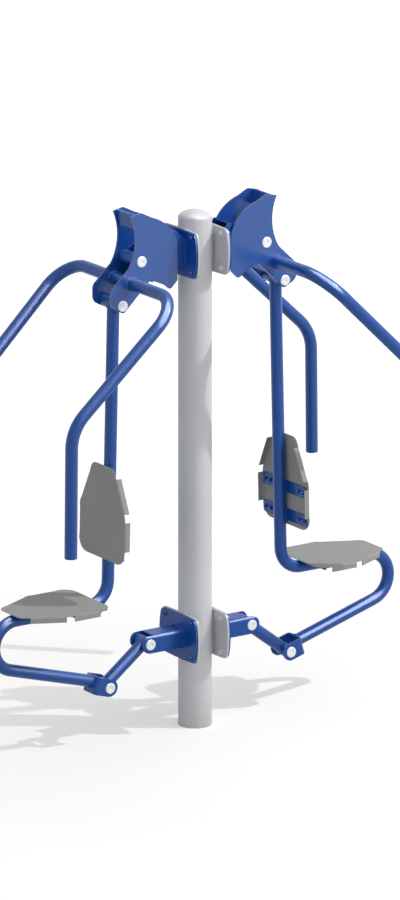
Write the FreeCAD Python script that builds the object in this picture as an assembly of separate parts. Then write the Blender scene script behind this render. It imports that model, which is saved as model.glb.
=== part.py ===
"""Outdoor double chest press: one round post with two seated press units, back to back.

Each unit is a four-bar linkage. A lever with a handlebar turns on the upper bracket and
carries the seat frame; a link on the lower bracket guides the foot of that frame, so the
seat rises upright when the handles are pushed away from the chest.

Frame: origin at the post's foot on the ground, +Z up, the units face out along +X and -X.
Every piece is drawn for the unit on the +X side; the other is the same, turned half a turn.
"""
import FreeCAD, Part
import math
import os
from FreeCAD import Placement, Rotation, Vector

# Driving dimensions, in millimetres and degrees.

# Post and its domed cap
post_diameter = 114.3
post_wall = 3.6
post_above_flange = 25.0
dome_height = 29.0
dome_shoulder = 18.0
spigot_length = 30.0
spigot_wall = 3.0
spigot_clearance = 0.2

# Barrel-shaped flanges on the post, and the bracket base plates bolted to them
flange_half_height = 81.0
flange_half_width = 104.0
flange_side_bulge = 12.0
flange_end_bulge = 3.0
flange_corner = 20.0
flange_thickness = 7.0
base_thickness = 7.0
base_inset = 3.0
weld_saddle = 1.5
flange_bolt = 10.0
flange_bolt_hole = 11.0
flange_bolt_y = 78.0
flange_bolt_z = 60.0
flange_bolt_tail = 4.0
bolt_head_diameter = 17.0
bolt_head_height = 5.5
bolt_head_chamfer = 2.0
nut_across_flats = 16.0
nut_height = 8.0

# Tubes of the moving frames
tube_diameter = 42.4
tube_wall = 3.2

# Pivots: axle, flanged bushes in a cross hub, and white caps over the axle ends
hub_diameter = 44.5
axle_diameter = 20.0
running_clearance = 0.05
bush_wall = 5.0
bush_length = 22.0
bush_flange = 3.0
bush_flange_diameter = 38.0
side_play = 0.5
cap_diameter = 37.0
cap_height = 4.0
cap_edge = 1.5
cap_dimple_diameter = 9.0
cap_dimple_depth = 1.0
cap_stem = 10.0
cap_stem_length = 14.0

# Lever: two cut plates on the head pivot, joined by an end plate and the handlebar
head_x = 249.0
head_z = 1656.9
lever_reach = 74.6
lever_drop = 140.5
lever_plate = 6.0
lever_half_gap = 51.0
sector_radius = 150.0
sector_start = 106.5
sector_end = 161.0
crown_reach = 1.0
crown_rise = 164.5
crown_radius = 15.0
brow_reach = 40.5
brow_rise = 156.0
waist_reach = 23.0
waist_rise = 66.0
shoulder_reach = 50.0
shoulder_drop = 19.5
heel_reach = 142.0
heel_drop = 82.0
toe_reach = 113.0
toe_drop = 111.0
toe_radius = 12.0
instep_reach = 90.0
instep_drop = 91.0
instep_radius = 15.0
arch_reach = 34.7
arch_drop = 67.1
arch_radius = 14.0
lobe_inner = 4.6
lobe_outer = 46.4
lobe_below = 27.1
lobe_above = 54.5
lobe_slant = 26.6
lobe_inner_radius = 12.0
lobe_outer_radius = 28.0
end_plate_setback = 12.0
end_plate_height = 50.0
end_plate_thickness = 10.0

# Handlebar: one tube through both lever plates, bent out and down to the grips
handle_corner_y = 342.0
handle_bend = 110.0
elbow_drop = 449.0
elbow_bend = 150.0
grip_half_spacing = 320.0
grip_reach = 448.8
grip_drop = 881.0
grip_lean = 0.84
plug_flange = 3.0
plug_edge = 2.0
plug_length = 20.0

# Upper bracket: tapered arm of two side plates and a top web, with a rubber rest stop
arm_half_width = 47.0
arm_plate = 6.0
arm_rear_rise = 50.0
arm_hood_x = 107.0
arm_hood_rise = 85.0
arm_foot_drop = 44.0
arm_web_end = 40.0
stop_plate = 8.0
stop_weld = 30.0
buffer_diameter = 30.0
buffer_length = 16.0
buffer_gap = 0.3

# Lower bracket: folded channel, open below
lower_x = 205.3
lower_z = 324.4
channel_half_width = 40.0
channel_half_height = 31.0
channel_plate = 6.0
channel_bend = 12.0
channel_web_setback = 12.0

# Link and the folded clevis on the seat frame's foot
link_reach = 161.7
link_drop = 124.3
clevis_half_width = 40.0
clevis_half_height = 30.0
clevis_plate = 6.0
clevis_bend = 14.0
clevis_web_reach = 56.0
clevis_tube_offset = 9.0
open_pivot_clearance = 3.5
drain_hole = 8.0
drain_from_hub = 25.0

# Seat frame tube
seat_tube_lean = 1.53
seat_run_z = 486.0
seat_bend = 82.0
curl_radius = 86.0
curl_reach = 798.0

# Pads: the seat and the backrest are the same folded sheet
pad_length = 319.0
pad_half_width = 140.5
pad_straight = 166.0
pad_nose_half_width = 66.5
pad_sheet = 3.0
pad_depth = 21.0
pad_fold = 6.0
pad_wide_corner = 46.0
pad_nose_corner = 28.0
pad_waist_corner = 60.0
pad_relief = 2.5
side_flange_start = 51.0
side_flange_gap = 15.0
taper_flange_gap = 15.0
taper_flange_end = 34.0
backrest_rise = 160.5
seat_setback = 65.5

# Flat bars that carry the pads, and the weld studs through them
bar_height = 40.0
bar_thickness = 5.0
bar_end_gap = 10.0
bar_saddle = 1.0
bar_first = 37.0
bar_second = 136.0
stud_diameter = 8.0
stud_hole = 9.0
stud_outer = 14.0
stud_inner = 44.0
stud_tail = 3.0
stud_nut_diameter = 13.0
stud_nut_height = 6.5
stud_nut_chamfer = 2.0

# Places and sizes that follow from the driving dimensions.

x_axis = Vector(1, 0, 0)
y_axis = Vector(0, 1, 0)
post_radius = post_diameter / 2
tube_radius = tube_diameter / 2
hub_radius = hub_diameter / 2
flange_back = post_radius - weld_saddle
flange_front = flange_back + flange_thickness
base_front = flange_front + base_thickness
post_top = head_z + flange_half_height + post_above_flange

head = Vector(head_x, 0, head_z)
hanger = Vector(head_x + lever_reach, 0, head_z - lever_drop)
grip_bar = (head + hanger) * 0.5
lower = Vector(lower_x, 0, lower_z)
clevis = Vector(lower_x + link_reach, 0, lower_z - link_drop)

lever_outer = lever_half_gap + lever_plate
head_hub_half = lever_half_gap - side_play - bush_flange
link_hub_half = channel_half_width - channel_plate - side_play - bush_flange
clevis_hub_half = clevis_half_width - clevis_plate - side_play - bush_flange
bush_bore = axle_diameter + 2 * running_clearance
hub_bore = bush_bore + 2 * bush_wall
open_bore = axle_diameter + 2 * open_pivot_clearance
pad_offset = tube_radius - bar_saddle + bar_thickness + pad_sheet


def in_xy(a, b):
    return Vector(a, b, 0)


def in_xz(a, b):
    return Vector(a, 0, b)


def in_yz(a, b):
    return Vector(0, a, b)


def turned(point, centre, degrees):
    """Point turned about a Y axis through centre; positive lifts what lies outward."""
    return centre + Rotation(y_axis, -degrees).multVec(point - centre)


def unit(vector):
    return vector * (1 / vector.Length)


def rounded(before, corner, after, radius):
    """Start, middle and end of the arc that rounds a corner."""
    back = unit(before - corner)
    ahead = unit(after - corner)
    half = back.getAngle(ahead) / 2
    reach = radius / math.tan(half)
    centre = corner + unit(back + ahead) * (radius / math.sin(half))
    middle = centre + unit(corner - centre) * radius
    return corner + back * reach, middle, corner + ahead * reach


def line(start, end):
    return Part.LineSegment(start, end).toShape()


def arc(start, middle, end):
    return Part.Arc(start, middle, end).toShape()


def outline(corners, lift):
    """Face through corners (a, b, radius, via); via is a point that bows the next edge."""
    points = [lift(corner[0], corner[1]) for corner in corners]
    count = len(points)
    entries = list(points)
    exits = list(points)
    edges = []
    for i, corner in enumerate(corners):
        radius = corner[2] if len(corner) > 2 else 0
        if radius:
            entries[i], middle, exits[i] = rounded(
                points[i - 1], points[i], points[(i + 1) % count], radius)
            edges.append((i, arc(entries[i], middle, exits[i])))
    for i, corner in enumerate(corners):
        target = entries[(i + 1) % count]
        if len(corner) > 3:
            edges.append((i + 0.5, arc(exits[i], lift(*corner[3]), target)))
        else:
            edges.append((i + 0.5, line(exits[i], target)))
    edges.sort(key=lambda item: item[0])
    return Part.Face(Part.Wire([edge for place, edge in edges]))


def between_y(face, low, high):
    """Solid from a face at y = 0, pushed out between two y values."""
    solid = face.extrude(Vector(0, high - low, 0))
    solid.translate(Vector(0, low, 0))
    return solid


def cross_rod(place, diameter, low, high):
    """Cylinder along Y through a pivot."""
    return Part.makeCylinder(diameter / 2, high - low, Vector(place.x, low, place.z), y_axis)


def rod(start, end, diameter):
    return Part.makeCylinder(diameter / 2, (end - start).Length, start, end - start)


def bent_path(points, radii):
    """Path of straight runs joined by tangent arcs."""
    edges = []
    last = points[0]
    for i, radius in enumerate(radii, start=1):
        start, middle, end = rounded(points[i - 1], points[i], points[i + 1], radius)
        edges.append(line(last, start))
        edges.append(arc(start, middle, end))
        last = end
    edges.append(line(last, points[-1]))
    return Part.Wire(edges)


def swept(path, start, heading, diameter):
    ring = Part.Wire(Part.makeCircle(diameter / 2, start, heading))
    return path.makePipeShell([ring], True, False)


def tube(path, start, heading):
    outside = swept(path, start, heading, tube_diameter)
    return outside.cut(swept(path, start, heading, tube_diameter - 2 * tube_wall))


# Post


def make_post_tube():
    outside = Part.makeCylinder(post_radius, post_top)
    return outside.cut(Part.makeCylinder(post_radius - post_wall, post_top))


def make_post_cap():
    """Dome with a round shoulder over a hollow spigot that plugs the tube, turned from one profile."""
    spigot_radius = post_radius - post_wall - spigot_clearance
    bore_radius = spigot_radius - spigot_wall
    spigot_foot = post_top - spigot_length
    shoulder = in_xz(post_radius - dome_shoulder, post_top)
    flatter = dome_height - dome_shoulder
    ball_radius = (shoulder.x ** 2 + dome_height ** 2 - dome_shoulder ** 2) / (2 * flatter)
    ball = in_xz(0, post_top + dome_height - ball_radius)
    toward = unit(shoulder - ball)
    meet = ball + toward * ball_radius
    crown = in_xz(0, post_top + dome_height)
    corners = [
        crown, in_xz(0, post_top), in_xz(bore_radius, post_top), in_xz(bore_radius, spigot_foot),
        in_xz(spigot_radius, spigot_foot), in_xz(spigot_radius, post_top), in_xz(post_radius, post_top)]
    edges = [line(a, b) for a, b in zip(corners, corners[1:])]
    edges.append(arc(corners[-1], shoulder + unit(x_axis + toward) * dome_shoulder, meet))
    edges.append(arc(meet, ball + unit(toward + Vector(0, 0, 1)) * ball_radius, crown))
    return Part.Face(Part.Wire(edges)).revolve(ball, Vector(0, 0, 1), 360)


def bolt_places(centre_z):
    signs = (-1, 1)
    return [(a * flange_bolt_y, centre_z + b * flange_bolt_z) for a in signs for b in signs]


def barrel_plate(back, thickness, centre_z, inset):
    """Plate with bowed edges, rounded corners and four bolt holes."""
    half_y = flange_half_width - inset
    bow_y = half_y + flange_side_bulge
    bow_z = flange_half_height - inset
    half_z = bow_z - flange_end_bulge
    face = outline([
        (-half_y, -half_z, 0, (0, -bow_z)),
        (half_y, -half_z, 0, (bow_y, 0)),
        (half_y, half_z, 0, (0, bow_z)),
        (-half_y, half_z, 0, (-bow_y, 0)),
    ], in_yz)
    plate = face.extrude(Vector(thickness, 0, 0))
    corners = [edge for edge in plate.Edges if edge.BoundBox.XLength > thickness / 2]
    plate = plate.makeFillet(flange_corner - inset, corners)
    plate.translate(Vector(back, 0, centre_z))
    for y, z in bolt_places(centre_z):
        plate = plate.cut(Part.makeCylinder(flange_bolt_hole / 2, thickness, Vector(back, y, z), x_axis))
    return plate


def make_post_flanges():
    post = Part.makeCylinder(post_radius, post_top)
    plates = [barrel_plate(flange_back, flange_thickness, z, 0).cut(post) for z in (head_z, lower_z)]
    return Part.makeCompound(plates)


def make_flange_bolts():
    """Button-head bolts from outside, with hexagon nuts behind the post flange."""
    pieces = []
    inward = x_axis * -1
    shank_length = base_thickness + flange_thickness + nut_height + flange_bolt_tail
    wide = bolt_head_diameter / 2
    narrow = wide - bolt_head_chamfer
    flat_height = bolt_head_height - bolt_head_chamfer
    for centre_z in (head_z, lower_z):
        for y, z in bolt_places(centre_z):
            seat = Vector(base_front, y, z)
            flat = Part.makeCylinder(wide, flat_height, seat, x_axis)
            crown = Part.makeCone(wide, narrow, bolt_head_chamfer, seat + x_axis * flat_height, x_axis)
            shank = Part.makeCylinder(flange_bolt / 2, shank_length, seat, inward)
            pieces.append(flat.fuse(crown).fuse(shank).removeSplitter())
            pieces.append(hexagon(Vector(flange_back, y, z), inward))
    return Part.makeCompound(pieces)


def hexagon(seat, heading):
    """Hexagon nut that stands on seat and reaches along heading, an X direction."""
    spoke = Vector(0, nut_across_flats / math.sqrt(3), 0)
    corners = [seat + Rotation(x_axis, 60 * turn).multVec(spoke) for turn in range(7)]
    nut = Part.Face(Part.makePolygon(corners)).extrude(heading * nut_height)
    return nut.cut(Part.makeCylinder(flange_bolt / 2, nut_height, seat, heading))


# Pivots


def hub(place, half_length):
    outside = cross_rod(place, hub_diameter, -half_length, half_length)
    return outside.cut(cross_rod(place, hub_bore, -half_length, half_length))


def bushes(place, half_length, bore):
    """Pair of flanged bushes, pushed into a hub from both ends."""
    pair = []
    for side in (-1, 1):
        mouth = side * half_length
        sleeve_ends = sorted((mouth, mouth - side * bush_length))
        flange_ends = sorted((mouth, mouth + side * bush_flange))
        bush = cross_rod(place, hub_bore, *sleeve_ends)
        bush = bush.fuse(cross_rod(place, bush_flange_diameter, *flange_ends)).removeSplitter()
        pair.append(bush.cut(cross_rod(place, bore, -2 * half_length, 2 * half_length)))
    return pair


def axle(place, half_length):
    """Plain axle, flush with the plates that hold it, drilled at both ends for the caps."""
    pin = cross_rod(place, axle_diameter, -half_length, half_length)
    for side in (-1, 1):
        ends = sorted((side * half_length, side * (half_length - cap_stem_length)))
        pin = pin.cut(cross_rod(place, cap_stem, *ends))
    return pin


def caps(place, half_length):
    """Pair of dished caps on the outer faces, each with a stem in the axle's end."""
    pair = []
    for side in (-1, 1):
        disc = Part.makeCylinder(cap_diameter / 2, cap_height, Vector(0, 0, 0), y_axis)
        rim = [edge for edge in disc.Edges if abs(edge.BoundBox.YMin - cap_height) < 0.01]
        disc = disc.makeFillet(cap_edge, rim)
        dimple_seat = Vector(0, cap_height - cap_dimple_depth, 0)
        disc = disc.cut(Part.makeCylinder(cap_dimple_diameter / 2, cap_dimple_depth, dimple_seat, y_axis))
        stem = Part.makeCylinder(cap_stem / 2, cap_stem_length, Vector(0, -cap_stem_length, 0), y_axis)
        cap = disc.fuse(stem).removeSplitter()
        if side < 0:
            cap.rotate(Vector(0, 0, 0), Vector(0, 0, 1), 180)
        cap.translate(Vector(place.x, side * half_length, place.z))
        pair.append(cap)
    return pair


# Lever


def lever_outline():
    """Sector about the head pivot, a toe, an arch, a lobe round the hanger pivot, and a brow."""
    sector = [turned(head + Vector(sector_radius, 0, 0), head, angle)
              for angle in (sector_start, (sector_start + sector_end) / 2, sector_end)]
    waist = (head.x + waist_reach, head.z + waist_rise)
    lobe_foot = hanger.z - lobe_below
    return outline([
        (sector[0].x, sector[0].z, 0, (sector[1].x, sector[1].z)),
        (sector[2].x, sector[2].z),
        (head.x - heel_reach, head.z - heel_drop, toe_radius),
        (head.x - toe_reach, head.z - toe_drop, toe_radius),
        (head.x - instep_reach, head.z - instep_drop, instep_radius),
        (head.x - arch_reach, head.z - arch_drop, arch_radius),
        (hanger.x - lobe_inner, lobe_foot, lobe_inner_radius),
        (hanger.x + lobe_outer, lobe_foot + lobe_slant, lobe_outer_radius),
        (hanger.x + lobe_outer, hanger.z + lobe_above, lobe_outer_radius),
        (head.x + shoulder_reach, head.z - shoulder_drop, 0, waist),
        (head.x + brow_reach, head.z + brow_rise),
        (head.x - crown_reach, head.z + crown_rise, crown_radius),
    ], in_xz)


def make_lever_plate(side):
    ends = sorted((side * lever_half_gap, side * lever_outer))
    plate = between_y(lever_outline(), *ends)
    for place, diameter in ((head, axle_diameter), (hanger, axle_diameter), (grip_bar, tube_diameter)):
        plate = plate.cut(cross_rod(place, diameter, *ends))
    return plate


def make_end_plate():
    """Spacer between the lever plates, set back from their bowed edge and flush with their top."""
    brow = head + Vector(brow_reach, 0, brow_rise)
    waist = head + Vector(waist_reach, 0, waist_rise)
    down = unit(waist - brow)
    inward = Vector(down.z, 0, -down.x)
    front = brow + inward * end_plate_setback
    top = front - down * end_plate_thickness
    bottom = front + down * end_plate_height
    deep = inward * end_plate_thickness
    face = outline([(p.x, p.z) for p in (top, bottom, bottom + deep, top + deep)], in_xz)
    flush = between_y(lever_outline(), -lever_half_gap, lever_half_gap)
    return between_y(face, -lever_half_gap, lever_half_gap).common(flush)


def grip_points(side):
    """Elbow and lower end of one grip."""
    end = head + Vector(grip_reach, side * grip_half_spacing, -grip_drop)
    elbow_rise = grip_drop - elbow_drop
    elbow = end + Vector(-elbow_rise * math.tan(math.radians(grip_lean)), 0, elbow_rise)
    return elbow, end


def make_handlebar():
    left_elbow, left_end = grip_points(-1)
    right_elbow, right_end = grip_points(1)
    left_end = left_end + unit(left_elbow - left_end) * plug_flange
    right_end = right_end + unit(right_elbow - right_end) * plug_flange
    corner = Vector(0, handle_corner_y, 0)
    points = [left_end, left_elbow, grip_bar - corner, grip_bar + corner, right_elbow, right_end]
    path = bent_path(points, [elbow_bend, handle_bend, handle_bend, elbow_bend])
    return tube(path, left_end, left_elbow - left_end)


def make_handle_plugs():
    """Rounded plugs that close the grips' lower ends."""
    pair = []
    for side in (-1, 1):
        elbow, end = grip_points(side)
        disc = Part.makeCylinder(tube_radius, plug_flange)
        rim = [edge for edge in disc.Edges if abs(edge.BoundBox.ZMax) < 0.01]
        disc = disc.makeFillet(plug_edge, rim)
        stem = Part.makeCylinder(tube_radius - tube_wall, plug_length, Vector(0, 0, plug_flange))
        plug = disc.fuse(stem).removeSplitter()
        plug.Placement = Placement(end, Rotation(Vector(0, 0, 1), elbow - end))
        pair.append(plug)
    return Part.makeCompound(pair)


# Upper bracket and the stop that the handlebar rests on


def rest_stop():
    """Centre of the buffer's face, just short of the handlebar, and the way the bar leans on it."""
    arm = grip_bar - head
    heading = unit(Vector(arm.z, 0, -arm.x))
    return grip_bar + heading * (tube_radius + buffer_gap), heading


def make_rest_buffer():
    face, heading = rest_stop()
    return rod(face, face + heading * buffer_length, buffer_diameter)


def stop_lug(edge_start, edge_end):
    """Plate behind the buffer that runs up between the arm's side plates, past their lower edge."""
    face, heading = rest_stop()
    back = face + heading * buffer_length
    along = Vector(heading.z, 0, -heading.x)
    edge = edge_end - edge_start
    offset = edge_start - back
    cross = along.x * edge.z - along.z * edge.x
    reach = (offset.x * edge.z - offset.z * edge.x) / cross + stop_weld
    start = back - along * (buffer_diameter / 2)
    end = back + along * reach
    deep = heading * stop_plate
    corners = [start, end, end + deep, start + deep]
    half = arm_half_width - arm_plate
    return between_y(outline([(corner.x, corner.z) for corner in corners], in_xz), -half, half)


def make_upper_bracket():
    rear_top = Vector(base_front, 0, head_z + arm_rear_rise)
    hood = Vector(arm_hood_x, 0, head_z + arm_hood_rise)
    nose_top = head + Vector(0, 0, hub_radius)
    nose_bottom = head - Vector(0, 0, hub_radius)
    rear_bottom = Vector(base_front, 0, head_z - arm_foot_drop)
    profile = outline([(p.x, p.z) for p in (rear_top, hood, nose_top, nose_bottom, rear_bottom)], in_xz)
    inner = arm_half_width - arm_plate
    bracket = barrel_plate(flange_front, base_thickness, head_z, base_inset)
    for side in (-1, 1):
        ends = sorted((side * inner, side * arm_half_width))
        bracket = bracket.fuse(between_y(profile, *ends))
    slope = unit(nose_top - hood)
    under = Vector(slope.z, 0, -slope.x) * arm_plate
    web_end = nose_top - slope * arm_web_end
    web_corners = [hood, web_end, web_end + under, hood + under]
    web = outline([(corner.x, corner.z) for corner in web_corners], in_xz)
    bracket = bracket.fuse(between_y(web, -inner, inner))
    bracket = bracket.fuse(stop_lug(rear_bottom, nose_bottom))
    bracket = bracket.fuse(cross_rod(head, hub_diameter, -head_hub_half, head_hub_half))
    bracket = bracket.cut(cross_rod(head, hub_bore, -head_hub_half, head_hub_half))
    return bracket.removeSplitter()


# Lower bracket, link and clevis


def channel_section(half_width, high, low, bend, plate, lift):
    """Face of a folded channel: a web at high with rounded folds and two legs down to low."""
    outside = outline([
        (-half_width, low), (half_width, low), (half_width, high, bend), (-half_width, high, bend)], lift)
    inner = half_width - plate
    below = low - plate
    inside = outline([
        (-inner, below), (inner, below), (inner, high - plate, bend - plate),
        (-inner, high - plate, bend - plate)], lift)
    return outside.cut(inside)


def make_lower_bracket():
    half = channel_half_height
    section = channel_section(
        channel_half_width, half, -half, channel_bend, channel_plate, in_yz)
    channel = section.extrude(Vector(lower_x + half - base_front, 0, 0))
    channel.translate(Vector(base_front, 0, lower_z))
    side_view = outline([
        (base_front, lower_z - half),
        (lower_x, lower_z - half, 0, (lower_x + half, lower_z)),
        (lower_x, lower_z + half),
        (base_front, lower_z + half),
    ], in_xz)
    channel = channel.common(between_y(side_view, -channel_half_width, channel_half_width))
    inner = channel_half_width - channel_plate
    mouth = Part.makeBox(
        half + channel_web_setback, 2 * inner, 2 * half,
        Vector(lower_x - channel_web_setback, -inner, lower_z))
    channel = channel.cut(mouth)
    channel = channel.cut(cross_rod(lower, axle_diameter, -channel_half_width, channel_half_width))
    base = barrel_plate(flange_front, base_thickness, lower_z, base_inset)
    return base.fuse(channel).removeSplitter()


def make_link():
    """Tube between two cross hubs, with a drain hole under its lower end."""
    hubs = cross_rod(lower, hub_diameter, -link_hub_half, link_hub_half)
    hubs = hubs.fuse(cross_rod(clevis, hub_diameter, -clevis_hub_half, clevis_hub_half))
    bore = rod(lower, clevis, tube_diameter - 2 * tube_wall).cut(hubs)
    upward = unit(lower - clevis)
    drain = clevis + upward * (hub_radius + drain_from_hub)
    below = Vector(-upward.z, 0, upward.x) * tube_diameter
    bore = bore.fuse(rod(drain, drain + below, drain_hole))
    link = rod(lower, clevis, tube_diameter).fuse(hubs).cut(bore)
    link = link.cut(cross_rod(lower, hub_bore, -link_hub_half, link_hub_half))
    return link.cut(cross_rod(clevis, hub_bore, -clevis_hub_half, clevis_hub_half)).removeSplitter()


def curl_centre():
    return Vector(curl_reach - curl_radius, 0, seat_run_z - curl_radius)


def return_angle():
    """Slope of the seat tube's lower run, tangent to the curl and just above the clevis pivot."""
    span = curl_centre() - clevis
    rise = math.atan2(span.z, span.x)
    return math.degrees(rise - math.asin((curl_radius + clevis_tube_offset) / span.Length))


def make_seat_clevis():
    """Folded clevis, drawn along X from its pivot and tilted to the tube's lower run."""
    reach = clevis_web_reach
    section = channel_section(
        clevis_half_width, reach, -clevis_half_height, clevis_bend, clevis_plate, lambda a, b: in_xy(b, a))
    fork = section.extrude(Vector(0, 0, 2 * clevis_half_height))
    fork.translate(Vector(0, 0, -clevis_half_height))
    side_view = outline([
        (reach, -clevis_half_height),
        (reach, clevis_half_height),
        (0, clevis_half_height, 0, (-clevis_half_height, 0)),
        (0, -clevis_half_height),
    ], in_xz)
    fork = fork.common(between_y(side_view, -clevis_half_width, clevis_half_width))
    fork = fork.cut(cross_rod(Vector(0, 0, 0), axle_diameter, -clevis_half_width, clevis_half_width))
    fork.rotate(Vector(0, 0, 0), y_axis, -return_angle())
    fork.translate(clevis)
    return fork


# Seat frame


def seat_corner():
    """Where the leaning upright and the level run of the seat tube would meet."""
    fall = hanger.z - seat_run_z
    return hanger + Vector(fall * math.tan(math.radians(seat_tube_lean)), 0, -fall)


def seat_path():
    corner = seat_corner()
    centre = curl_centre()
    slope = math.radians(return_angle())
    along = Vector(math.cos(slope), 0, math.sin(slope))
    above = Vector(-math.sin(slope), 0, math.cos(slope))
    foot = clevis + above * clevis_tube_offset + along * clevis_web_reach
    run_end = Vector(centre.x, 0, seat_run_z)
    start, middle, end = rounded(hanger, corner, run_end, seat_bend)
    half_turn = slope / 2
    curl_middle = centre + Vector(math.cos(half_turn), 0, math.sin(half_turn)) * curl_radius
    curl_end = centre - above * curl_radius
    return Part.Wire([
        line(hanger, start), arc(start, middle, end), line(end, run_end),
        arc(run_end, curl_middle, curl_end), line(curl_end, foot)])


def seat_tube_solid():
    return swept(seat_path(), hanger, seat_corner() - hanger, tube_diameter)


def make_seat_tube():
    """Bent tube, coped to the hanger hub at its top."""
    bent = tube(seat_path(), hanger, seat_corner() - hanger)
    return bent.cut(cross_rod(hanger, hub_diameter, -head_hub_half, head_hub_half))


def pad_flange(start, heading, outward, length):
    """Side wall of a pad with its fold, along one straight edge of the sheet."""
    fold_middle = pad_fold * (1 - math.sqrt(0.5))
    inside = pad_fold - pad_sheet
    inner_middle = pad_sheet + inside * (1 - math.sqrt(0.5))

    def lift(out, deep):
        return start + outward * out - Vector(0, 0, deep)

    section = outline([
        (-pad_fold, 0, 0, (-fold_middle, fold_middle)),
        (0, pad_fold),
        (0, pad_depth),
        (-pad_sheet, pad_depth),
        (-pad_sheet, pad_fold, 0, (-inner_middle, inner_middle)),
        (-pad_fold, pad_sheet),
    ], lift)
    return section.extrude(heading * length)


def make_pad():
    """Folded sheet, front face up at z = 0, wide end at x = 0, with two side walls each side.

    The free edges between the walls lie a little inside them.
    """
    wide = pad_half_width
    nose = pad_nose_half_width
    free_wide = wide - pad_relief
    free_nose = nose - pad_relief
    sheet = outline([
        (0, -free_wide, pad_wide_corner),
        (pad_straight, -free_wide, pad_waist_corner),
        (pad_length, -free_nose, pad_nose_corner),
        (pad_length, free_nose, pad_nose_corner),
        (pad_straight, free_wide, pad_waist_corner),
        (0, free_wide, pad_wide_corner),
    ], in_xy).extrude(Vector(0, 0, -pad_sheet))
    walls = []
    for side in (-1, 1):
        waist = Vector(pad_straight, side * wide, 0)
        tip = Vector(pad_length, side * nose, 0)
        rear = Vector(0, side * wide, 0)
        side_length = pad_straight - side_flange_gap - side_flange_start
        walls.append((rear + Vector(side_flange_start, 0, 0), Vector(1, 0, 0), side, side_length))
        taper = unit(tip - waist)
        taper_length = (tip - waist).Length - taper_flange_gap - taper_flange_end
        walls.append((waist + taper * taper_flange_gap, taper, side, taper_length))
    pad = sheet
    for start, heading, side, length in walls:
        outward = Vector(-heading.y, heading.x, 0) * side
        corner = start - outward * pad_fold
        strip = Part.Face(Part.makePolygon([
            corner, corner + heading * length, corner + heading * length + outward * 2 * pad_fold,
            corner + outward * 2 * pad_fold, corner])).extrude(Vector(0, 0, -pad_sheet))
        pad = pad.cut(strip).fuse(pad_flange(start, heading, outward, length))
    return pad.removeSplitter()


def seat_place():
    corner = seat_corner()
    origin = Vector(corner.x + seat_setback, 0, seat_run_z + pad_offset)
    return Placement(origin, Rotation())


def backrest_place():
    up = unit(hanger - seat_corner())
    front = Vector(up.z, 0, -up.x)
    origin = seat_corner() + up * backrest_rise + front * pad_offset
    return Placement(origin, Rotation(up, front.cross(up), front, "XZY"))


def pad_places():
    return (seat_place(), backrest_place())


def stud_places():
    """Stud centres on a pad's back, in the pad's own frame."""
    reach = pad_half_width - pad_sheet - bar_end_gap
    rows = (reach - stud_outer, reach - stud_inner)
    return [(x, side * y) for x in (bar_first, bar_second) for side in (-1, 1) for y in rows]


def make_pad_bars():
    """Four flat bars, two behind each pad, hollowed where they are welded to the tube."""
    reach = pad_half_width - pad_sheet - bar_end_gap
    frame_tube = seat_tube_solid()
    bars = []
    for place in pad_places():
        for middle in (bar_first, bar_second):
            corner = Vector(middle - bar_height / 2, -reach, -pad_sheet - bar_thickness)
            bar = Part.makeBox(bar_height, 2 * reach, bar_thickness, corner)
            for x, y in stud_places():
                bar = bar.cut(Part.makeCylinder(stud_hole / 2, bar_thickness, Vector(x, y, corner.z)))
            bar.Placement = place
            bars.append(bar.cut(frame_tube))
    return Part.makeCompound(bars)


def make_pad_studs():
    """Studs on the back of each pad, with domed nuts behind the bars."""
    studs = []
    down = Vector(0, 0, -1)
    body_height = stud_nut_height - stud_nut_chamfer
    wide = stud_nut_diameter / 2
    narrow = wide - stud_nut_chamfer
    for place in pad_places():
        for x, y in stud_places():
            root = Vector(x, y, -pad_sheet)
            nut_seat = root + down * bar_thickness
            stud = Part.makeCylinder(stud_diameter / 2, bar_thickness + stud_tail, root, down)
            stud = stud.fuse(Part.makeCylinder(wide, body_height, nut_seat, down))
            dome_seat = nut_seat + down * body_height
            stud = stud.fuse(Part.makeCone(wide, narrow, stud_nut_chamfer, dome_seat, down)).removeSplitter()
            stud.Placement = place
            studs.append(stud)
    return Part.makeCompound(studs)


def make_placed_pad(place):
    pad = make_pad()
    pad.Placement = place
    return pad


# One press unit, by name


def unit_pieces():
    return {
        "post_flanges": make_post_flanges(),
        "upper_bracket": make_upper_bracket(),
        "lower_bracket": make_lower_bracket(),
        "flange_bolts": make_flange_bolts(),
        "head_bushes": Part.makeCompound(bushes(head, head_hub_half, bush_bore)),
        "rest_buffer": make_rest_buffer(),
        "lower_axle": axle(lower, channel_half_width),
        "lower_caps": Part.makeCompound(caps(lower, channel_half_width)),
        "lever_plate_a": make_lever_plate(-1),
        "lever_plate_b": make_lever_plate(1),
        "lever_end_plate": make_end_plate(),
        "handlebar": make_handlebar(),
        "handle_plugs": make_handle_plugs(),
        "head_axle": axle(head, lever_outer),
        "hanger_axle": axle(hanger, lever_outer),
        "lever_caps": Part.makeCompound(caps(head, lever_outer) + caps(hanger, lever_outer)),
        "seat_tube": make_seat_tube(),
        "hanger_hub": hub(hanger, head_hub_half),
        "hanger_bushes": Part.makeCompound(bushes(hanger, head_hub_half, bush_bore)),
        "seat_clevis": make_seat_clevis(),
        "pad_bars": make_pad_bars(),
        "pad_studs": make_pad_studs(),
        "seat": make_placed_pad(seat_place()),
        "backrest": make_placed_pad(backrest_place()),
        "clevis_axle": axle(clevis, clevis_half_width),
        "clevis_caps": Part.makeCompound(caps(clevis, clevis_half_width)),
        "link": make_link(),
        "link_bushes": Part.makeCompound(
            bushes(lower, link_hub_half, bush_bore) + bushes(clevis, clevis_hub_half, open_bore)),
    }


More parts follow.
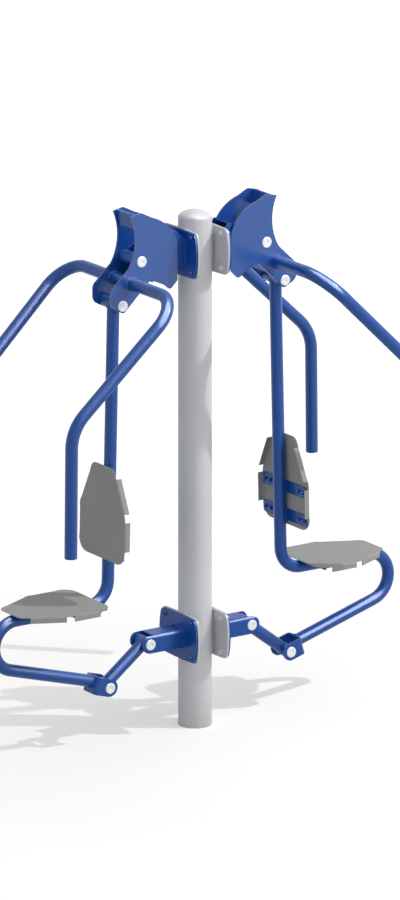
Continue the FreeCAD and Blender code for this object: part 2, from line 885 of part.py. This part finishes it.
os.makedirs("parts", exist_ok=True)
make_post_tube().exportStep("parts/post_tube.step")
make_post_cap().exportStep("parts/post_cap.step")
for name, shape in unit_pieces().items():
    shape.exportStep("parts/right_" + name + ".step")
    shape.rotate(Vector(0, 0, 0), Vector(0, 0, 1), 180)
    shape.exportStep("parts/left_" + name + ".step")
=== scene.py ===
import math

import bmesh
import bpy
from mathutils import Matrix, Vector


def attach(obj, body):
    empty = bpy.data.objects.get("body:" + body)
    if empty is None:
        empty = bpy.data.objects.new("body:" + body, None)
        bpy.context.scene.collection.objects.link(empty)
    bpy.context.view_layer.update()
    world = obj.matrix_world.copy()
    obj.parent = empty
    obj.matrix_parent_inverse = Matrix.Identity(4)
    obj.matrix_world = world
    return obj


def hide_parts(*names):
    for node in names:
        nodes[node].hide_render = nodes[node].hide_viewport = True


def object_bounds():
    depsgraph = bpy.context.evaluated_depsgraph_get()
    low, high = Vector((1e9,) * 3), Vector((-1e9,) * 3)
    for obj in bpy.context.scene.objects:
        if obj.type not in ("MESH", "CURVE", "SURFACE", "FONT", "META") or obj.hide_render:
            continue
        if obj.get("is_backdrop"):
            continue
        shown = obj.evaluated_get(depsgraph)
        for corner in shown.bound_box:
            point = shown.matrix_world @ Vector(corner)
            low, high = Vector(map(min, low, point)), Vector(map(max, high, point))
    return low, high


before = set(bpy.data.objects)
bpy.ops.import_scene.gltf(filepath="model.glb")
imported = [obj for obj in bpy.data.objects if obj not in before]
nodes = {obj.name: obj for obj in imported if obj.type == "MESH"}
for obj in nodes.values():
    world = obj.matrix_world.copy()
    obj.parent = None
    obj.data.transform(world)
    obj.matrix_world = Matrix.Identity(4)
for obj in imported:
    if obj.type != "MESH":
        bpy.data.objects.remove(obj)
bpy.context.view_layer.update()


# Studio: a white floor in a white surround, and a small key lamp high on the right that throws
# crisp shadows. A tall softbox, found by mirrored rays alone, draws the highlights along the
# tubes. The camera stands far off with a long lens.
class Tone:
    """A socket in a node tree: sums on it add Math nodes, and node() adds any other node."""

    def __init__(self, tree, socket=None):
        self.tree = tree
        self.socket = socket

    def node(self, kind, settings, inputs, output=0):
        made = self.tree.nodes.new(kind)
        for name, value in settings.items():
            setattr(made, name, value)
        for name, value in inputs.items():
            if isinstance(value, Tone):
                self.tree.links.new(value.socket, made.inputs[name])
            else:
                made.inputs[name].default_value = value
        return None if output is None else Tone(self.tree, made.outputs[output])

    def maths(self, operation, first, second, clamp=False):
        settings = {"operation": operation, "use_clamp": clamp}
        return self.node("ShaderNodeMath", settings, {0: first, 1: second})

    def mixed(self, mask, first, second):
        """Two colours mixed; the Mix node has them at inputs 6 and 7 and the result at output 2."""
        return self.node("ShaderNodeMix", {"data_type": "RGBA"}, {0: mask, 6: first, 7: second}, 2)

    def __add__(self, other):
        return self.maths("ADD", self, other)

    def __sub__(self, other):
        return self.maths("SUBTRACT", self, other)

    def __rsub__(self, other):
        return self.maths("SUBTRACT", other, self)

    def __mul__(self, other):
        return self.maths("MULTIPLY", self, other)

    def __truediv__(self, other):
        return self.maths("DIVIDE", self, other)

    def __rtruediv__(self, other):
        return self.maths("DIVIDE", other, self)

    __radd__ = __add__
    __rmul__ = __mul__


def empty_finish(name):
    """A material with no nodes yet, and the pen that adds them."""
    finish = bpy.data.materials.new(name)
    finish.use_nodes = True
    finish.node_tree.nodes.clear()
    return finish, Tone(finish.node_tree)


def screen(red, green, blue):
    """A colour as it looks on a screen, 0 to 255, in the shader's own scale."""
    linear = []
    for value in (red, green, blue):
        part = value / 255
        linear.append(part / 12.92 if part <= 0.04045 else ((part + 0.055) / 1.055) ** 2.4)
    return tuple(linear) + (1.0,)


def plain_grey(level):
    """A grey in the shader's own scale."""
    return (level, level, level, 1.0)


def show(name, data):
    """Puts a mesh, lamp or camera into the scene."""
    thing = bpy.data.objects.new(name, data)
    bpy.context.scene.collection.objects.link(thing)
    return thing


bpy.context.scene.view_settings.view_transform = "Standard"

lens = bpy.data.cameras.new("camera")
lens.sensor_width = 36.0
lens.lens = 247.81
lens.shift_x = 0.00559
lens.clip_end = 200.0
camera = show("camera", lens)
camera.location = (-11.0615, -16.6762, 6.5095)
camera_aim = Vector((0, 0, 0.9626))
sight = camera_aim - camera.location
camera.rotation_euler = sight.to_track_quat("-Z", "Y").to_euler()
bpy.context.scene.camera = camera


def background_rays(pen):
    """1 for rays that show the background: from the camera, mirrored, or through glass."""
    straight = pen.node("ShaderNodeLightPath", {}, {}, "Is Camera Ray")
    mirrored = pen.node("ShaderNodeLightPath", {}, {}, "Is Glossy Ray")
    through = pen.node("ShaderNodeLightPath", {}, {}, "Is Transmission Ray")
    return pen.maths("ADD", straight + mirrored, through, True)


surround = bpy.data.worlds.new("studio_surround")
surround.use_nodes = True
surround.node_tree.nodes.clear()
sky = Tone(surround.node_tree)
white = plain_grey(1.0)
backdrop = sky.node("ShaderNodeBackground", {}, {"Color": white, "Strength": 1.0})
dim_side = sky.node("ShaderNodeBackground", {}, {"Color": white, "Strength": 0.56})
bright_side = sky.node("ShaderNodeBackground", {}, {"Color": white, "Strength": 1.15})
bright_way = (0.5, -0.75, -0.4)
bright_slope = 0.5
bright_middle = 0.45
way = sky.node("ShaderNodeTexCoord", {}, {}, "Generated")
brightward = sky.node(
    "ShaderNodeVectorMath", {"operation": "DOT_PRODUCT"}, {0: way, 1: bright_way}, "Value")
brightness = sky.maths("ADD", brightward * bright_slope, bright_middle, True)
spread = sky.node("ShaderNodeMixShader", {}, {0: brightness, 1: dim_side, 2: bright_side})
seen = sky.node("ShaderNodeMixShader", {}, {0: background_rays(sky), 1: spread, 2: backdrop})
sky.node("ShaderNodeOutputWorld", {}, {"Surface": seen}, None)
bpy.context.scene.world = surround

floor_paint, pen = empty_finish("white_floor")
matt = pen.node("ShaderNodeBsdfDiffuse", {}, {"Color": plain_grey(0.52)})
glow_fade = 5.0
glow_start = 0.2
place = pen.node("ShaderNodeTexCoord", {}, {}, "Object")
away = pen.node("ShaderNodeVectorMath", {"operation": "LENGTH"}, {0: place}, "Value")
far = pen.maths("SUBTRACT", away / glow_fade, glow_start, True)
glow_tone = pen.mixed(far, plain_grey(0.25), plain_grey(0.6))
glow = pen.node("ShaderNodeEmission", {}, {"Color": glow_tone, "Strength": 1.0})
shade = pen.node("ShaderNodeBsdfDiffuse", {}, {"Color": plain_grey(0.72)})
white_look = pen.node("ShaderNodeAddShader", {}, {0: glow, 1: shade})
seen = pen.node("ShaderNodeMixShader", {}, {0: background_rays(pen), 1: matt, 2: white_look})
pen.node("ShaderNodeOutputMaterial", {}, {"Surface": seen}, None)
floor_half = 60.0
floor_mesh = bpy.data.meshes.new("floor")
floor_corners = [
    (-floor_half, -floor_half, 0), (floor_half, -floor_half, 0),
    (floor_half, floor_half, 0), (-floor_half, floor_half, 0)]
floor_mesh.from_pydata(floor_corners, [], [(0, 1, 2, 3)])
floor_mesh.materials.append(floor_paint)
show("floor", floor_mesh)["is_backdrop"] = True

object_middle = Vector((0, 0, 0.9))


def hang_lamp(lamp, place):
    """Sets a lamp where it looks at the middle of the object."""
    holder = show(lamp.name, lamp)
    holder.location = place
    holder.rotation_euler = (holder.location - object_middle).to_track_quat("Z", "Y").to_euler()
    holder.visible_camera = False
    return holder


key = bpy.data.lights.new("key_lamp", "AREA")
key.shape = "DISK"
key.size = 0.10
key.energy = 225.0
hang_lamp(key, (3.84, -2.88, 5.55))
softbox = bpy.data.lights.new("softbox", "AREA")
softbox.shape = "ELLIPSE"
softbox.size = 9.0
softbox.size_y = 18.0
softbox.energy = 7800.0
hang_lamp(softbox, (1.5, -4.0, 7.6)).visible_diffuse = False


# Post: a round steel tube with its foot in the ground, closed by a pressed dome. Both are powder
# coated in a pale satin grey, which has taken a little dust round the foot.
def powder_coat(name, colour, roughness, coat, grain, depth, sheen=0.1):
    """Baked powder paint: faintly cloudy, with a fine orange-peel skin and softened plate edges."""
    cloud_shade = 0.82
    cloud_gloss = 0.1
    peel_gloss = 0.06
    dust = screen(150, 142, 128)
    dust_height = 0.16
    dust_share = 0.5
    dust_gloss = 0.2
    edge_radius = 0.0006
    paint, pen = empty_finish(name)
    place = pen.node("ShaderNodeTexCoord", {}, {}, "Object")
    cloud = pen.node("ShaderNodeTexNoise", {}, {"Vector": place, "Scale": 3.0, "Detail": 4.0})
    peel = pen.node("ShaderNodeTexNoise", {}, {"Vector": place, "Scale": grain, "Detail": 2.0})
    height = pen.node("ShaderNodeSeparateXYZ", {}, {"Vector": place}, "Z")
    dark = tuple(value * cloud_shade for value in colour[:3]) + (1.0,)
    worn = pen.mixed(cloud, colour, dark)
    foot = pen.maths("SUBTRACT", 1.0, height / dust_height, True)
    dusted = pen.mixed(foot * cloud * dust_share, worn, dust)
    edge = pen.node("ShaderNodeBevel", {"samples": 4}, {"Radius": edge_radius})
    skin = pen.node("ShaderNodeBump", {}, {
        "Strength": depth, "Distance": 0.001, "Height": peel, "Normal": edge})
    patchy = (cloud - 0.5) * cloud_gloss
    gloss = roughness + patchy + (peel - 0.5) * peel_gloss + foot * dust_gloss
    shader = pen.node("ShaderNodeBsdfPrincipled", {}, {
        "Base Color": dusted, "Roughness": gloss, "Normal": skin,
        "Specular IOR Level": sheen, "Coat Weight": coat, "Coat Roughness": 0.25})
    pen.node("ShaderNodeOutputMaterial", {}, {"Surface": shader}, None)
    return paint


def coat_nodes(finish, *names):
    """Gives a finish to CAD nodes, of both units where the name is a unit's."""
    for name in names:
        for node in [name] if name in nodes else ["left_" + name, "right_" + name]:
            nodes[node].material_slots[0].material = finish


post_grey = powder_coat(
    "post_grey_powder_coat", screen(211, 212, 216), roughness=0.42, coat=0.1, grain=520.0, depth=0.10)
cap_grey = powder_coat(
    "cap_grey_powder_coat", screen(211, 212, 215), roughness=0.36, coat=0.05, grain=520.0, depth=0.06)
coat_nodes(post_grey, "post_tube")
coat_nodes(cap_grey, "post_cap")


# Flanges: four barrel-shaped steel plates, a pair on each side of the post, each joined to it by
# two upright fillet welds. They carry the post's paint, drawn a little darker as painted shade.
flange_centres = (1.6569, 0.3244)
flange_half_height = 0.081
# Painted shade: the post's grey made a little darker for the flanges' shaded faces.
flange_painted_shade_grey = powder_coat(
    "flange_grey_powder_coat", screen(196, 197, 201), roughness=0.42, coat=0.1, grain=520.0,
    depth=0.10)
coat_nodes(flange_painted_shade_grey, "post_flanges")


def growth_tree(name, sizes):
    """A geometry tree with the given named inputs: the tree and a pen for each input."""
    tree = bpy.data.node_groups.new(name, "GeometryNodeTree")
    for label, kind in sizes.items():
        tree.interface.new_socket(label, in_out="INPUT", socket_type="NodeSocket" + kind)
    tree.interface.new_socket("Result", in_out="OUTPUT", socket_type="NodeSocketGeometry")
    start = tree.nodes.new("NodeGroupInput")
    return tree, [Tone(tree, start.outputs[label]) for label in sizes]


def finish_growth(pen, instances, paint):
    """Closes a tree: plain smooth mesh in one finish."""
    solid = pen.node("GeometryNodeRealizeInstances", {}, {"Geometry": instances})
    smooth = pen.node("GeometryNodeSetShadeSmooth", {}, {"Geometry": solid})
    coated = pen.node("GeometryNodeSetMaterial", {}, {"Geometry": smooth, "Material": paint})
    pen.node("NodeGroupOutput", {}, {"Result": coated}, None)


def grown(name, seed_mesh, tree, values):
    """Runs a tree over a mesh and keeps the result as a plain object."""
    seed = show(name + "_seed", seed_mesh)
    growth = seed.modifiers.new("growth", "NODES")
    growth.node_group = tree
    for socket in tree.interface.items_tree:
        if socket.name in values:
            growth[socket.identifier] = values[socket.name]
    bpy.context.view_layer.update()
    result = seed.evaluated_get(bpy.context.evaluated_depsgraph_get())
    mesh = bpy.data.meshes.new_from_object(result)
    bpy.data.objects.remove(seed)
    return show(name, mesh)


weld_tree, (path, pitch, throat, paint) = growth_tree("weld_ripples", {
    "Path": "Geometry", "Pitch": "Float", "Throat": "Float", "Paint": "Material"})
curve = path.node("GeometryNodeMeshToCurve", {}, {"Mesh": path})
steps = path.node(
    "GeometryNodeResampleCurve", {"mode": "LENGTH"}, {"Curve": curve, "Length": pitch})
ripple = path.node("GeometryNodeMeshIcoSphere", {}, {"Radius": throat, "Subdivisions": 2})
heading = path.node("GeometryNodeInputTangent", {}, {})
turned = path.node("FunctionNodeAlignRotationToVector", {"axis": "Z"}, {"Vector": heading})
finish_growth(path, path.node("GeometryNodeInstanceOnPoints", {}, {
    "Points": steps, "Instance": ripple, "Rotation": turned, "Scale": (1.0, 1.0, 0.8)}), paint)


def welds(name, runs, throat, finish, body):
    """Rippled weld beads along runs, each a list of points and whether it closes."""
    points = []
    edges = []
    for run, closed in runs:
        first = len(points)
        points.extend(run)
        edges.extend((i, i + 1) for i in range(first, len(points) - 1))
        if closed:
            edges.append((len(points) - 1, first))
    seed = bpy.data.meshes.new(name)
    seed.from_pydata(points, edges, [])
    bead = grown(name, seed, weld_tree, {"Pitch": throat, "Throat": throat, "Paint": finish})
    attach(bead, body)


half_turn = Matrix.Rotation(math.pi, 4, "Z")


def both_units(runs):
    """The same runs for the unit on the +X side and, turned half a turn, for the other."""
    return runs + [([half_turn @ point for point in run], closed) for run, closed in runs]


flange_weld_x = 0.0545
flange_weld_y = 0.0190
flange_weld_end = 0.006
flange_throat = 0.0040
flange_runs = []
for centre in flange_centres:
    for y in (-flange_weld_y, flange_weld_y):
        low = Vector((flange_weld_x, y, centre - flange_half_height + flange_weld_end))
        high = Vector((flange_weld_x, y, centre + flange_half_height - flange_weld_end))
        flange_runs.append(([low, high], False))
welds("flange_welds", both_units(flange_runs), flange_throat, post_grey, "post")


# Brackets: a base plate bolted to each flange. The upper one carries a tapered arm of plates and
# the head hub, the lower one a folded channel; both are welded and coated in a satin blue.
strong_blue = screen(7, 73, 152)
satin_blue = powder_coat(
    "satin_blue_powder_coat", strong_blue, roughness=0.4, coat=0.35, grain=480.0, depth=0.06)
coat_nodes(satin_blue, "upper_bracket", "lower_bracket")

base_front = 0.06965
head = Vector((0.2490, 0, 1.6569))
hanger = Vector((0.3236, 0, 1.5164))
lower = Vector((0.2053, 0, 0.3244))
clevis = Vector((0.3670, 0, 0.2001))
arm_half_width = 0.047
arm_rise = 0.050
arm_drop = 0.044
channel_half_width = 0.040
channel_half_height = 0.031
channel_bend = 0.012
bead = 0.0022
bead_half = bead / 2
bead_line = base_front + bead_half

bracket_runs = []
for y in (-arm_half_width - bead_half, arm_half_width + bead_half):
    foot = Vector((bead_line, y, head.z - arm_drop))
    top = Vector((bead_line, y, head.z + arm_rise))
    bracket_runs.append(([foot, top], False))
fold = channel_bend + bead_half
fold_y = channel_half_width - channel_bend
fold_z = lower.z + channel_half_height - channel_bend
channel_side = channel_half_width + bead_half
channel_foot = lower.z - channel_half_height
fold_steps = 6
around = [Vector((bead_line, -channel_side, channel_foot))]
for side, start in ((-1, 180), (1, 90)):
    for step in range(fold_steps + 1):
        angle = math.radians(start - 90 / fold_steps * step)
        y = side * fold_y + fold * math.cos(angle)
        around.append(Vector((bead_line, y, fold_z + fold * math.sin(angle))))
around.append(Vector((bead_line, channel_side, channel_foot)))
bracket_runs.append((around, False))
welds("bracket_welds", both_units(bracket_runs), bead, satin_blue, "post")


# Flange bolts: steel button-head socket screws with washers, put in from the outside and coated
# with the bracket, and hexagon nuts in the post's grey behind the flange. Four hold each plate.
def ring_stack(name, rings, sides=24):
    """A closed turned or hexagonal shape along +Z from rings (radius, height, hexagonal)."""
    shape = bmesh.new()
    loops = []
    for radius, height, hexagonal in rings:
        loop = []
        for i in range(sides if radius else 1):
            angle = 2 * math.pi * i / sides
            out = radius
            if hexagonal:
                out = radius / math.cos((angle + math.pi / 6) % (math.pi / 3) - math.pi / 6)
            loop.append(shape.verts.new((out * math.cos(angle), out * math.sin(angle), height)))
        loops.append(loop)
    for below, above in zip(loops, loops[1:]):
        for i in range(sides):
            corners = [below[i % len(below)], below[(i + 1) % len(below)],
                       above[(i + 1) % len(above)], above[i % len(above)]]
            shape.faces.new(list(dict.fromkeys(corners)))
    bmesh.ops.recalc_face_normals(shape, faces=shape.faces)
    mesh = bpy.data.meshes.new(name)
    shape.to_mesh(mesh)
    shape.free()
    return mesh


fixing_tree, (spots, pattern, paint) = growth_tree(
    "fixings_on_spots", {"Spots": "Geometry", "Pattern": "Object", "Paint": "Material"})
shape = spots.node(
    "GeometryNodeObjectInfo", {"transform_space": "ORIGINAL"}, {"Object": pattern}, "Geometry")
facing = spots.node("GeometryNodeInputNamedAttribute", {"data_type": "FLOAT_VECTOR"}, {
    "Name": "facing"}, "Attribute")
turned = spots.node("FunctionNodeEulerToRotation", {}, {"Euler": facing})
finish_growth(spots, spots.node("GeometryNodeInstanceOnPoints", {}, {
    "Points": spots, "Instance": shape, "Rotation": turned}), paint)


crease = math.radians(32)


def fixings(name, rings, seats, finish, body, replaced=()):
    """One shape set on every seat, a place and the way it faces, on one body."""
    spots = bpy.data.meshes.new(name)
    spots.from_pydata([seat for seat, way in seats], [], [])
    facing = spots.attributes.new("facing", "FLOAT_VECTOR", "POINT")
    for i, (seat, way) in enumerate(seats):
        facing.data[i].vector = way.to_track_quat("Z", "Y").to_euler()
    pattern = show(name + "_pattern", ring_stack(name, rings))
    piece = grown(name, spots, fixing_tree, {"Pattern": pattern, "Paint": finish})
    bpy.data.objects.remove(pattern)
    crisp = piece.modifiers.new("crisp_edges", "EDGE_SPLIT")
    crisp.split_angle = crease
    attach(piece, body)
    if replaced:
        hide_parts(*replaced)


bolt_y = 0.078
bolt_z = 0.060
flange_back = 0.05565
outward = Vector((1, 0, 0))
bolt_rings = [
    (0.0100, 0.0, False), (0.0100, 0.0018, False), (0.0086, 0.0018, False),
    (0.0085, 0.0026, False), (0.0078, 0.0044, False), (0.0064, 0.0056, False),
    (0.0046, 0.0062, False), (0.0034, 0.0060, True), (0.0032, 0.0032, True), (0.0, 0.0026, False)]
nut_rings = [
    (0.0098, 0.0, False), (0.0098, 0.0016, False), (0.0080, 0.0016, True),
    (0.0080, 0.0086, True), (0.0072, 0.0094, False), (0.0050, 0.0094, False),
    (0.0050, 0.0112, False), (0.0042, 0.0120, False), (0.0, 0.0120, False)]
bolt_seats = []
nut_seats = []
for turn in (Matrix.Identity(4), half_turn):
    for centre in flange_centres:
        for y in (-bolt_y, bolt_y):
            for z in (centre - bolt_z, centre + bolt_z):
                bolt_seats.append((turn @ Vector((base_front, y, z)), turn @ outward))
                nut_seats.append((turn @ Vector((flange_back, y, z)), turn @ -outward))
fixings("flange_bolt_heads", bolt_rings, bolt_seats, satin_blue, "post",
        ("left_flange_bolts", "right_flange_bolts"))
fixings("flange_nuts", nut_rings, nut_seats, post_grey, "post")


# Pivots: turned zinc-plated axles in flanged nylon bushes. White moulded caps push into the axle
# ends, each with a sunk middle that holds a small hexagon socket.
zinc, pen = empty_finish("zinc_plated_steel")
place = pen.node("ShaderNodeTexCoord", {}, {}, "Object")
bloom = pen.node("ShaderNodeTexNoise", {}, {"Vector": place, "Scale": 180.0, "Detail": 3.0})
scuff = pen.node("ShaderNodeTexNoise", {}, {"Vector": place, "Scale": 1400.0, "Detail": 1.0})
plated = pen.mixed(bloom, screen(214, 215, 218), screen(168, 170, 176))
scuffed = pen.node("ShaderNodeBump", {}, {"Strength": 0.15, "Distance": 0.0004, "Height": scuff})
shader = pen.node("ShaderNodeBsdfPrincipled", {}, {
    "Base Color": plated, "Metallic": 1.0, "Roughness": 0.26 + bloom * 0.2, "Normal": scuffed})
pen.node("ShaderNodeOutputMaterial", {}, {"Surface": shader}, None)

nylon, pen = empty_finish("cream_nylon")
place = pen.node("ShaderNodeTexCoord", {}, {}, "Object")
haze = pen.node("ShaderNodeTexNoise", {}, {"Vector": place, "Scale": 90.0, "Detail": 2.0})
moulded = pen.mixed(haze, screen(216, 212, 200), screen(196, 191, 176))
shader = pen.node("ShaderNodeBsdfPrincipled", {}, {
    "Base Color": moulded, "Roughness": 0.4 + haze * 0.2})
pen.node("ShaderNodeOutputMaterial", {}, {"Surface": shader}, None)
coat_nodes(nylon, "head_bushes", "hanger_bushes", "link_bushes")
coat_nodes(zinc, "head_axle", "hanger_axle", "lower_axle", "clevis_axle")

cap_white, pen = empty_finish("white_moulded_plastic")
place = pen.node("ShaderNodeTexCoord", {}, {}, "Object")
haze = pen.node("ShaderNodeTexNoise", {}, {"Vector": place, "Scale": 60.0, "Detail": 3.0})
moulded = pen.node("ShaderNodeTexNoise", {}, {"Vector": place, "Scale": 900.0, "Detail": 1.0})
skin = pen.node("ShaderNodeBump", {}, {"Strength": 0.08, "Distance": 0.0005, "Height": moulded})
shader = pen.node("ShaderNodeBsdfPrincipled", {}, {
    "Base Color": pen.mixed(haze, screen(242, 243, 244), screen(224, 227, 230)),
    "Roughness": 0.28 + haze * 0.15, "Normal": skin})
pen.node("ShaderNodeOutputMaterial", {}, {"Surface": shader}, None)

cap_rings = [
    (0.0185, 0.0, False), (0.0185, 0.0022, False), (0.0183, 0.0029, False),
    (0.0178, 0.0035, False), (0.0171, 0.0039, False), (0.0163, 0.0040, False),
    (0.0068, 0.0040, False), (0.0062, 0.0038, False), (0.0060, 0.0018, False),
    (0.0, 0.0018, False)]
socket_rings = [
    (0.0046, 0.0016, False), (0.0046, 0.0028, False), (0.0042, 0.0032, False),
    (0.0028, 0.0033, False), (0.0025, 0.0032, True), (0.0023, 0.0019, True), (0.0, 0.0018, False)]
lever_outer = 0.057


def cap_seats(turn, pivots, half_width):
    """Both ends of each pivot of one unit."""
    ends = [Vector((0, side, 0)) for side in (-1, 1)]
    return [(turn @ (pivot + end * half_width), turn @ end) for pivot in pivots for end in ends]


def pivot_caps(name, seats, body, replaced):
    """White caps on the ends of a body's axles, and the sockets in their middles."""
    fixings(name + "_caps", cap_rings, seats, cap_white, body, replaced)
    fixings(name + "_cap_sockets", socket_rings, seats, cap_white, body)


units = (("right", Matrix.Identity(4)), ("left", half_turn))
lower_seats = []
for side, turn in units:
    lower_seats.extend(cap_seats(turn, [lower], channel_half_width))
pivot_caps("lower_pivot", lower_seats, "post", ("left_lower_caps", "right_lower_caps"))
for side, turn in units:
    lever_seats = cap_seats(turn, [head, hanger], lever_outer)
    pivot_caps(side + "_lever_pivot", lever_seats, side + "_lever", (side + "_lever_caps",))
    clevis_seats = cap_seats(turn, [clevis], channel_half_width)
    pivot_caps(side + "_clevis_pivot", clevis_seats, side + "_seat_frame", (side + "_clevis_caps",))


# Lever and handlebar: two laser-cut steel plates with an end plate between them, and one bent
# tube that passes through both and is welded all round. All are coated blue, the cut plates with
# the most gloss, and plastic plugs close the grip ends.
blue = powder_coat(
    "gloss_blue_powder_coat", strong_blue, roughness=0.34, coat=0.5, grain=480.0, depth=0.04)
plate_blue = powder_coat(
    "plate_blue_powder_coat", strong_blue, roughness=0.34, coat=1.0, grain=480.0, depth=0.04)
coat_nodes(plate_blue, "lever_plate_a", "lever_plate_b")
coat_nodes(satin_blue, "lever_end_plate")
coat_nodes(blue, "handlebar")
tube_radius = 0.0212
hub_radius = 0.02225
lever_inner = 0.051
bead_lift = bead / 3
bar = (head + hanger) / 2


def ring(centre, normal, radius, count=36):
    """Points round a circle."""
    across = normal.orthogonal().normalized()
    along = normal.cross(across).normalized()
    angles = [2 * math.pi * i / count for i in range(count)]
    return [centre + (across * math.cos(a) + along * math.sin(a)) * radius for a in angles]


across_y = Vector((0, 1, 0))
bar_runs = []
for face in (lever_inner - bead_lift, lever_outer + bead_lift):
    for y in (-face, face):
        bar_runs.append((ring(bar + across_y * y, across_y, tube_radius + bead_lift), True))
for side, turn in units:
    turned_runs = [([turn @ point for point in run], closed) for run, closed in bar_runs]
    welds(side + "_handlebar_welds", turned_runs, bead, blue, side + "_lever")

plug_black, pen = empty_finish("black_plug_plastic")
place = pen.node("ShaderNodeTexCoord", {}, {}, "Object")
haze = pen.node("ShaderNodeTexNoise", {}, {"Vector": place, "Scale": 300.0, "Detail": 3.0})
skin = pen.node("ShaderNodeBump", {}, {"Strength": 0.2, "Distance": 0.0005, "Height": haze})
shader = pen.node("ShaderNodeBsdfPrincipled", {}, {
    "Base Color": pen.mixed(haze, screen(36, 44, 74), screen(26, 32, 56)),
    "Roughness": 0.45 + haze * 0.2, "Normal": skin})
pen.node("ShaderNodeOutputMaterial", {}, {"Surface": shader}, None)
coat_nodes(plug_black, "handle_plugs")


# Seat frame: a bent steel tube hung from the lever by a cross hub, curled under the seat and
# welded to a folded clevis, all in gloss blue. Flat bars across it carry the pads.
coat_nodes(blue, "seat_tube", "hanger_hub", "seat_clevis", "pad_bars")
lean = math.radians(1.53)
seat_run_z = 0.486
curl_radius = 0.086
curl_centre = Vector((0.712, 0, 0.400))
clevis_offset = 0.009
clevis_reach = 0.056
bar_half = 0.020
bar_places = (0.037, 0.136)
bar_back = 0.0202
backrest_rise = 0.1605
seat_setback = 0.0655


def saddle(pivot, along, count=36):
    """Line where a tube leaves a cross hub of slightly larger radius."""
    beside = along.cross(across_y).normalized()
    radius = tube_radius + bead_lift
    line = []
    for i in range(count):
        angle = 2 * math.pi * i / count
        out = radius * math.cos(angle)
        deep = math.sqrt(max((hub_radius + bead_lift) ** 2 - out ** 2, 0))
        line.append(pivot + along * deep + beside * out + across_y * (radius * math.sin(angle)))
    return line


span = curl_centre - clevis
slope = math.atan2(span.z, span.x) - math.asin((curl_radius + clevis_offset) / span.length)
lower_run = Vector((math.cos(slope), 0, math.sin(slope)))
above_run = Vector((-math.sin(slope), 0, math.cos(slope)))
web = clevis + above_run * clevis_offset + lower_run * (clevis_reach + bead_lift)
upright = Vector((-math.sin(lean), 0, math.cos(lean)))
forward = Vector((math.cos(lean), 0, math.sin(lean)))
corner = hanger - upright * ((hanger.z - seat_run_z) / math.cos(lean))
level = Vector((1, 0, 0))
rise = Vector((0, 0, 1))
groove_y = 0.0105
groove_depth = 0.0014
groove = bar_back - groove_depth
bar_weld_half = bar_half * 0.9

pad_frames = (
    (corner + upright * backrest_rise, upright, forward),
    (corner + level * seat_setback, level, rise))
frame_runs = [
    (saddle(hanger, -upright), True),
    (ring(web, lower_run, tube_radius + bead_lift), True)]
for start, along, out in pad_frames:
    for place_along in bar_places:
        for y in (-groove_y, groove_y):
            middle = start + along * place_along + out * groove + across_y * y
            weld_half = along * bar_weld_half
            frame_runs.append(([middle - weld_half, middle + weld_half], False))
for side, turn in units:
    turned_runs = [([turn @ point for point in run], closed) for run, closed in frame_runs]
    welds(side + "_seat_frame_welds", turned_runs, bead, blue, side + "_seat_frame")


# Pads: the seat and the backrest are the same folded steel sheet in a matt textured grey. Studs
# on their backs pass through the flat bars and take domed nuts, coated with the frame.
pad_grey = powder_coat(
    "pad_grey_textured_coat", screen(161, 161, 160), roughness=0.62, coat=0.0, grain=950.0,
    depth=0.35, sheen=0.0)
coat_nodes(pad_grey, "seat", "backrest")

stud_rows = (0.1135, 0.0835)
dome_rings = [
    (0.0082, 0.0, False), (0.0082, 0.0012, False), (0.0064, 0.0012, True),
    (0.0064, 0.0050, True), (0.0056, 0.0056, False), (0.0053, 0.0072, False),
    (0.0042, 0.0088, False), (0.0024, 0.0098, False), (0.0, 0.0101, False)]
stud_seats = []
for start, along, out in pad_frames:
    for place_along in bar_places:
        for y in (-stud_rows[0], -stud_rows[1], stud_rows[1], stud_rows[0]):
            stud_seats.append((start + along * place_along + out * bar_back + across_y * y, -out))
for side, turn in units:
    turned_seats = [(turn @ seat, turn @ way) for seat, way in stud_seats]
    fixings(side + "_pad_nuts", dome_rings, turned_seats, blue,
            side + "_seat_frame", (side + "_pad_studs",))


# Link: a short tube welded between two cross hubs, in the same gloss blue.
# It swings on the lower bracket and steadies the foot of the seat frame.
coat_nodes(blue, "link")
link_run = (clevis - lower).normalized()
link_runs = [(saddle(lower, link_run), True), (saddle(clevis, -link_run), True)]
for side, turn in units:
    turned_runs = [([turn @ point for point in run], closed) for run, closed in link_runs]
    welds(side + "_link_welds", turned_runs, bead, blue, side + "_link_arm")


# Rest buffer: a short round of black rubber on the upper bracket's lug.
# The handlebar leans on it when nobody pushes.
rubber, pen = empty_finish("black_rubber")
place = pen.node("ShaderNodeTexCoord", {}, {}, "Object")
grain = pen.node("ShaderNodeTexNoise", {}, {"Vector": place, "Scale": 700.0, "Detail": 3.0})
skin = pen.node("ShaderNodeBump", {}, {"Strength": 0.3, "Distance": 0.0006, "Height": grain})
shader = pen.node("ShaderNodeBsdfPrincipled", {}, {
    "Base Color": pen.mixed(grain, screen(40, 40, 41), screen(26, 26, 27)),
    "Roughness": 0.7 + grain * 0.2, "Normal": skin})
pen.node("ShaderNodeOutputMaterial", {}, {"Surface": shader}, None)
coat_nodes(rubber, "rest_buffer")


# Sizes: the box round everything shown but the floor.
low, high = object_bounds()
